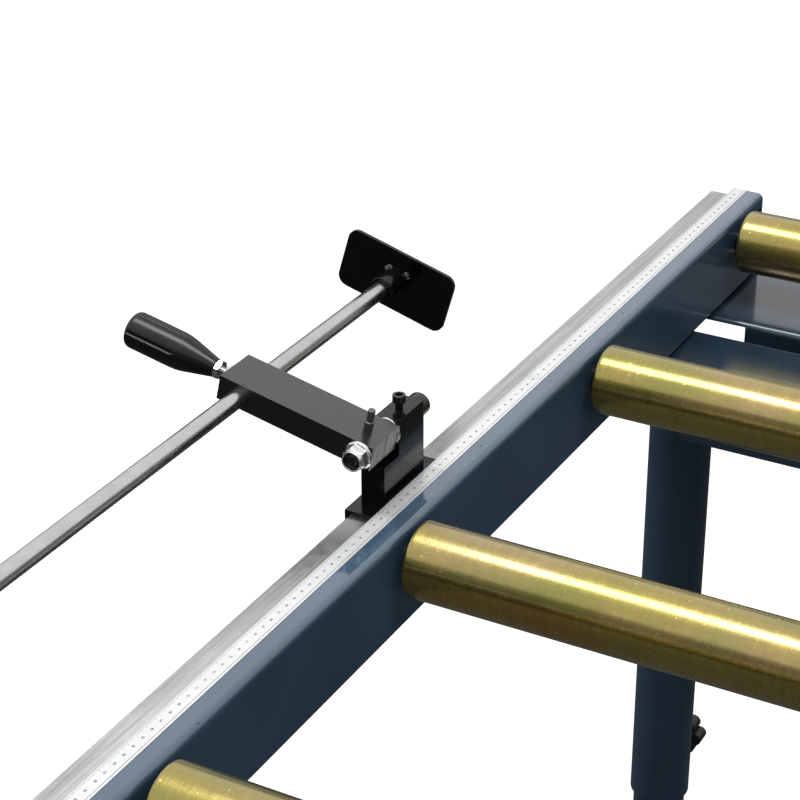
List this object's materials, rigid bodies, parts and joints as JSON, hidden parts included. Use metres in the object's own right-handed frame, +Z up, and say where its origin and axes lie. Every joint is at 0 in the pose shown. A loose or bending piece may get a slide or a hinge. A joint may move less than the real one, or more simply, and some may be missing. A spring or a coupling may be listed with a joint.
{
  "type": "roller conveyor",
  "caption": "Roller table for bar stock: tube rails on adjustable legs, free steel rollers, a scale rule and a length stop that slides on a guide bar.",
  "frame": {"origin": "on the floor, in the middle of the whole conveyor's outline seen from above, stop included", "axes": "+Z up, +X along the roller axes from the rail with the rule to the plain rail, +Y along the bed"},
  "size_m": [0.6674, 2.056, 0.8976],
  "materials": {
    "frame_paint": "gloss",
    "leg_paint": "gloss",
    "bright_bar": "drawn",
    "rule_enamel": "satin",
    "yellow_zinc": "bright",
    "axle_steel": "turned",
    "bearing_steel": "polished",
    "black_paint": "gloss",
    "black_oxide": "satin",
    "white_zinc": "bright",
    "rod_steel": "ground",
    "lock_ring": "moulded",
    "grip_plastic": "polished",
    "knob_plastic": "moulded"
  },
  "bodies": {
    "frame": {"rail_left": "frame_paint", "rail_right": "frame_paint", "channel_far_end": "frame_paint", "channel_far_leg": "frame_paint", "channel_near_leg": "frame_paint", "channel_near_end": "frame_paint", "leg_sleeve_far_left": "leg_paint", "leg_sleeve_far_right": "leg_paint", "leg_sleeve_near_left": "leg_paint", "leg_sleeve_near_right": "leg_paint", "leg_nuts": "leg_paint", "guide_bar": "bright_bar", "guide_bar_screws": "black_oxide", "scale_rule": "rule_enamel", "roller_axles": "axle_steel", "roller_bearings": "bearing_steel", "axle_spacers": "axle_steel"},
    "roller_1": {"roller_tube_1": "yellow_zinc", "roller_ends_1": "yellow_zinc"},
    "roller_2": {"roller_tube_2": "yellow_zinc", "roller_ends_2": "yellow_zinc"},
    "roller_3": {"roller_tube_3": "yellow_zinc", "roller_ends_3": "yellow_zinc"},
    "roller_4": {"roller_tube_4": "yellow_zinc", "roller_ends_4": "yellow_zinc"},
    "roller_5": {"roller_tube_5": "yellow_zinc", "roller_ends_5": "yellow_zinc"},
    "roller_6": {"roller_tube_6": "yellow_zinc", "roller_ends_6": "yellow_zinc"},
    "roller_7": {"roller_tube_7": "yellow_zinc", "roller_ends_7": "yellow_zinc"},
    "leg_far_left": {"leg_post_far_left": "leg_paint", "foot_far_left": "leg_paint"},
    "lock_knob_far_left": {"leg_knob_far_left": "knob_plastic"},
    "leg_far_right": {"leg_post_far_right": "leg_paint", "foot_far_right": "leg_paint"},
    "lock_knob_far_right": {"leg_knob_far_right": "knob_plastic"},
    "leg_near_left": {"leg_post_near_left": "leg_paint", "foot_near_left": "leg_paint"},
    "lock_knob_near_left": {"leg_knob_near_left": "knob_plastic"},
    "leg_near_right": {"leg_post_near_right": "leg_paint", "foot_near_right": "leg_paint"},
    "lock_knob_near_right": {"leg_knob_near_right": "knob_plastic"},
    "carriage": {"slide_shoe": "black_paint", "pivot_block": "black_paint", "pivot_bolt": "black_oxide", "pivot_washer": "white_zinc", "pivot_nut": "white_zinc", "nut_insert": "lock_ring"},
    "slide_lock": {"slide_lock_screw": "black_oxide"},
    "pivot_lock": {"pivot_lock_screw": "black_oxide"},
    "arm": {"stop_arm": "black_paint", "arm_stud": "black_oxide"},
    "clamp_handle": {"clamp_spindle": "rod_steel", "clamp_nut": "white_zinc", "clamp_grip": "grip_plastic"},
    "rod": {"stop_rod": "rod_steel"},
    "stop_head": {"rod_collar": "black_paint", "stop_plate": "black_paint"}
  },
  "joints": [
    {"name": "roller_1_spin", "type": "hinge", "parent": "frame", "child": "roller_1", "pos_m": [0.10671, -0.9675, 0.771], "axis": [1, 0, 0], "continuous": true},
    {"name": "roller_2_spin", "type": "hinge", "parent": "frame", "child": "roller_2", "pos_m": [0.10671, -0.645, 0.771], "axis": [1, 0, 0], "continuous": true},
    {"name": "roller_3_spin", "type": "hinge", "parent": "frame", "child": "roller_3", "pos_m": [0.10671, -0.3225, 0.771], "axis": [1, 0, 0], "continuous": true},
    {"name": "roller_4_spin", "type": "hinge", "parent": "frame", "child": "roller_4", "pos_m": [0.10671, 0, 0.771], "axis": [1, 0, 0], "continuous": true},
    {"name": "roller_5_spin", "type": "hinge", "parent": "frame", "child": "roller_5", "pos_m": [0.10671, 0.3225, 0.771], "axis": [1, 0, 0], "continuous": true},
    {"name": "roller_6_spin", "type": "hinge", "parent": "frame", "child": "roller_6", "pos_m": [0.10671, 0.645, 0.771], "axis": [1, 0, 0], "continuous": true},
    {"name": "roller_7_spin", "type": "hinge", "parent": "frame", "child": "roller_7", "pos_m": [0.10671, 0.9675, 0.771], "axis": [1, 0, 0], "continuous": true},
    {"name": "leg_far_left_height", "type": "slide", "parent": "frame", "child": "leg_far_left", "axis": [0, 0, 1], "range_m": [-0.2, 0.1]},
    {"name": "lock_knob_far_left_turn", "type": "hinge", "parent": "frame", "child": "lock_knob_far_left", "pos_m": [-0.07029, 0.869, 0.266], "axis": [0, 1, 0], "range_deg": [0, 720]},
    {"name": "leg_far_right_height", "type": "slide", "parent": "frame", "child": "leg_far_right", "axis": [0, 0, 1], "range_m": [-0.2, 0.1]},
    {"name": "lock_knob_far_right_turn", "type": "hinge", "parent": "frame", "child": "lock_knob_far_right", "pos_m": [0.28371, 0.869, 0.266], "axis": [0, 1, 0], "range_deg": [0, 720]},
    {"name": "leg_near_left_height", "type": "slide", "parent": "frame", "child": "leg_near_left", "axis": [0, 0, 1], "range_m": [-0.2, 0.1]},
    {"name": "lock_knob_near_left_turn", "type": "hinge", "parent": "frame", "child": "lock_knob_near_left", "pos_m": [-0.07029, -0.869, 0.266], "axis": [0, -1, 0], "range_deg": [0, 720]},
    {"name": "leg_near_right_height", "type": "slide", "parent": "frame", "child": "leg_near_right", "axis": [0, 0, 1], "range_m": [-0.2, 0.1]},
    {"name": "lock_knob_near_right_turn", "type": "hinge", "parent": "frame", "child": "lock_knob_near_right", "pos_m": [0.28371, -0.869, 0.266], "axis": [0, -1, 0], "range_deg": [0, 720]},
    {"name": "carriage_slide", "type": "slide", "parent": "frame", "child": "carriage", "axis": [0, 1, 0], "range_m": [-1.35, 0.6]},
    {"name": "slide_lock_turn", "type": "hinge", "parent": "carriage", "child": "slide_lock", "pos_m": [-0.12979, 0.376, 0.76], "axis": [0, 0, -1], "range_deg": [0, 720]},
    {"name": "pivot_lock_turn", "type": "hinge", "parent": "carriage", "child": "pivot_lock", "pos_m": [-0.12539, 0.387, 0.858], "axis": [0, 0, 1], "range_deg": [0, 720]},
    {"name": "arm_swing", "type": "hinge", "parent": "carriage", "child": "arm", "pos_m": [-0.12539, 0.3475, 0.8395], "axis": [0, 1, 0], "range_deg": [-38, 140]},
    {"name": "clamp_turn", "type": "hinge", "parent": "arm", "child": "clamp_handle", "pos_m": [-0.27194, 0.3475, 0.87145], "axis": [-0.977, 0, 0.213], "range_deg": [0, 720]},
    {"name": "rod_slide", "type": "slide", "parent": "arm", "child": "rod", "axis": [0, 1, 0], "range_m": [-0.173, 0.35]},
    {"name": "stop_plate_turn", "type": "hinge", "parent": "rod", "child": "stop_head", "pos_m": [-0.22681, 0.556, 0.86018], "axis": [0, 1, 0], "range_deg": [-180, 180]}
  ]
}
